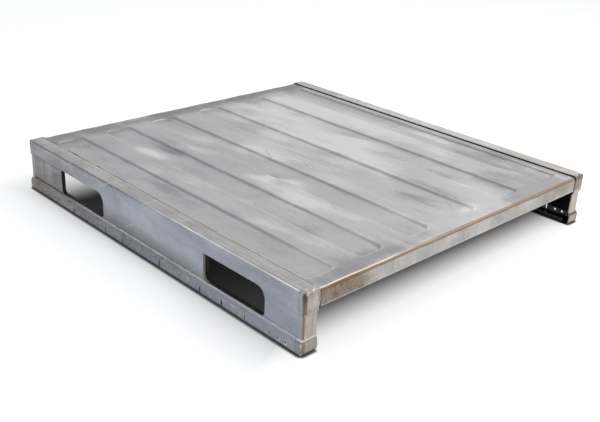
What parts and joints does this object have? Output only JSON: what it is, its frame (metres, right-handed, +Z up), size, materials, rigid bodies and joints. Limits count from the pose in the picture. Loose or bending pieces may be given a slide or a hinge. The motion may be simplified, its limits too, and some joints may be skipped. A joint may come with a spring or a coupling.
{
  "type": "steel pallet",
  "caption": "Pressed steel pallet: panelled deck with folded end flanges, carried by folded sheet runners with fork windows, sheet skids and pressed end shoes.",
  "frame": {"origin": "middle of the footprint, at floor level", "axes": "+X along the runners to the front end, +Y across to the far runner, +Z up"},
  "size_m": [1.219, 1.155, 0.158],
  "materials": {
    "deck_steel": "worn bare steel, satin, mottled grey with scuffs",
    "runner_steel": "smooth rolled steel, bluish grey, rust at the ends",
    "skid_steel": "rubbed and dirty steel, grey brown",
    "shoe_steel": "worn steel, beige grey with rust brown edges",
    "frame_steel": "dull dark steel under the deck"
  },
  "bodies": {
    "root": {"deck_tray": "deck_steel", "runner_near": "runner_steel", "runner_far": "runner_steel", "skid_near": "skid_steel", "skid_far": "skid_steel", "shoe_near_front": "shoe_steel", "shoe_near_rear": "shoe_steel", "shoe_far_front": "shoe_steel", "shoe_far_rear": "shoe_steel", "end_beam_front": "frame_steel", "end_beam_rear": "frame_steel", "cross_bar_1": "frame_steel", "cross_bar_2": "frame_steel", "cross_bar_3": "frame_steel", "cross_bar_4": "frame_steel", "cross_bar_5": "frame_steel", "web_plate_near_rear": "frame_steel", "web_plate_near_front": "frame_steel", "web_plate_far_rear": "frame_steel", "web_plate_far_front": "frame_steel"}
  },
  "joints": []
}
